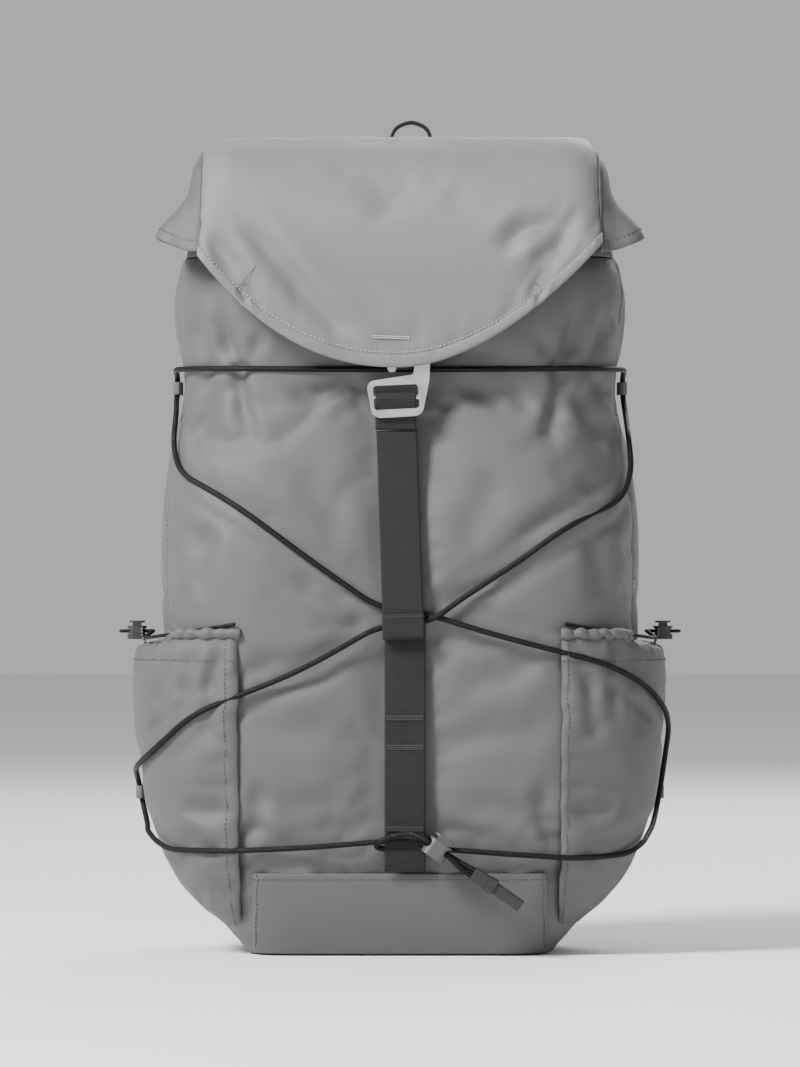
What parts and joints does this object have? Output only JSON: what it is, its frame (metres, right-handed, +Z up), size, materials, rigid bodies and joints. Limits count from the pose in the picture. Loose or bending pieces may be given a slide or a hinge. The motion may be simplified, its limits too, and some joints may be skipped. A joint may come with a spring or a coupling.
{
  "type": "daypack",
  "caption": "Flap-top daypack with a hooked lid, side pockets, criss-cross shock cord on the front and padded shoulder straps.",
  "frame": {"origin": "middle of the flat base, where the pack stands", "axes": "+Z up, the front with the hook faces -Y, the wearer's side faces +Y, +X is the viewer's right facing the front"},
  "size_m": [0.3494, 0.2653, 0.522],
  "materials": {
    "shell_cloth": "coated matt weave",
    "lid_cloth": "coated matt weave",
    "webbing": "ribbed",
    "thread": "matt",
    "lining": "matt",
    "cord": "braided cover",
    "shrink_tube": "matt",
    "stiffener": "matt",
    "mesh_foam": "mesh over foam",
    "hook_metal": "satin",
    "lock_plastic": "satin",
    "black_plastic": "satin"
  },
  "bodies": {
    "pack": {"front_panel": "shell_cloth", "left_side_panel": "shell_cloth", "right_side_panel": "shell_cloth", "back_panel": "shell_cloth", "base_panel": "shell_cloth", "base_wrap": "shell_cloth", "collar": "shell_cloth", "left_pocket": "shell_cloth", "right_pocket": "shell_cloth", "daisy_strap": "webbing", "closure_strap": "webbing", "left_upper_loop": "webbing", "right_upper_loop": "webbing", "left_lower_loop": "webbing", "right_lower_loop": "webbing", "left_strap_facing": "webbing", "right_strap_facing": "webbing", "left_lower_webbing": "webbing", "right_lower_webbing": "webbing", "bartacks": "thread", "inner_sleeve": "lining", "yoke": "shell_cloth", "left_wing": "shell_cloth", "right_wing": "shell_cloth", "shock_cord": "cord", "tail_1": "cord", "tail_2": "cord", "left_pocket_elastic": "cord", "right_pocket_elastic": "cord", "collar_drawcord": "cord", "cord_end": "shrink_tube", "frame_sheet": "stiffener", "back_pad": "mesh_foam", "left_shoulder_strap": "mesh_foam", "right_shoulder_strap": "mesh_foam", "left_lock_body": "black_plastic", "right_lock_body": "black_plastic", "collar_lock_body": "black_plastic"},
    "lid": {"lid_panel": "lid_cloth", "left_lid_gusset": "lid_cloth", "right_lid_gusset": "lid_cloth", "lid_binding": "lid_cloth", "lid_loop": "webbing"},
    "hook": {"hook": "hook_metal", "closure_fold": "webbing"},
    "front_lock": {"front_lock_body": "lock_plastic"},
    "front_button": {"front_lock_plunger": "lock_plastic"},
    "left_button": {"left_lock_plunger": "black_plastic"},
    "right_button": {"right_lock_plunger": "black_plastic"},
    "collar_button": {"collar_lock_plunger": "black_plastic"},
    "handle": {"grab_handle": "webbing"},
    "left_ladder": {"left_ladder_lock": "black_plastic"},
    "right_ladder": {"right_ladder_lock": "black_plastic"},
    "sternum_left": {"left_slider": "black_plastic", "sternum_strap_left": "webbing", "sternum_socket": "black_plastic"},
    "sternum_right": {"right_slider": "black_plastic", "sternum_strap_right": "webbing"},
    "plug": {"sternum_plug": "black_plastic"}
  },
  "joints": [
    {"name": "lid_hinge", "type": "hinge", "parent": "pack", "child": "lid", "pos_m": [0, 0.078, 0.502], "axis": [-1, 0, 0], "range_deg": [0, 96], "deforming": ["lid_loop"]},
    {"name": "hook_swing", "type": "hinge", "parent": "pack", "child": "hook", "pos_m": [0, -0.0966, 0.3223], "axis": [1, 0, 0], "range_deg": [0, 76.8]},
    {"name": "front_lock_slide", "type": "slide", "parent": "pack", "child": "front_lock", "axis": [0.8191, 0, -0.5736], "range_m": [0, 0.014], "deforming": ["shock_cord", "tail_1", "tail_2"]},
    {"name": "front_lock_press", "type": "slide", "parent": "front_lock", "child": "front_button", "axis": [-0.5736, 0, -0.8191], "range_m": [0, 0.0022], "stiffness_N_per_m": 300, "springref_m": -0.001},
    {"name": "left_lock_press", "type": "slide", "parent": "pack", "child": "left_button", "axis": [0, 0, -1], "range_m": [0, 0.0016], "stiffness_N_per_m": 300, "springref_m": -0.001},
    {"name": "right_lock_press", "type": "slide", "parent": "pack", "child": "right_button", "axis": [0, 0, -1], "range_m": [0, 0.0016], "stiffness_N_per_m": 300, "springref_m": -0.001},
    {"name": "collar_lock_press", "type": "slide", "parent": "pack", "child": "collar_button", "axis": [0, 0, -1], "range_m": [0, 0.0016], "stiffness_N_per_m": 300, "springref_m": -0.001},
    {"name": "handle_fold", "type": "hinge", "parent": "pack", "child": "handle", "pos_m": [0.007, 0.0985, 0.4854], "axis": [-1, 0, 0], "range_deg": [0, 80]},
    {"name": "left_ladder_tilt", "type": "hinge", "parent": "pack", "child": "left_ladder", "pos_m": [-0.064, 0.1145, 0.1403], "axis": [1, 0, 0], "range_deg": [0, 30]},
    {"name": "right_ladder_tilt", "type": "hinge", "parent": "pack", "child": "right_ladder", "pos_m": [0.064, 0.1145, 0.1403], "axis": [1, 0, 0], "range_deg": [0, 30]},
    {"name": "sternum_height", "type": "slide", "parent": "pack", "child": "sternum_left", "axis": [0, 0, 1], "range_m": [-0.035, 0.04]},
    {"name": "sternum_height_right", "type": "slide", "parent": "pack", "child": "sternum_right", "axis": [0, 0, 1], "range_m": [-0.035, 0.04]},
    {"name": "plug_release", "type": "slide", "parent": "sternum_right", "child": "plug", "axis": [1, 0, 0], "range_m": [0, 0.018], "deforming": ["sternum_strap_right"]}
  ],
  "couplings": [
    {"joint": "hook_swing", "follows": "lid_hinge", "ratio": 0.8},
    {"joint": "sternum_height_right", "follows": "sternum_height", "ratio": 1}
  ]
}
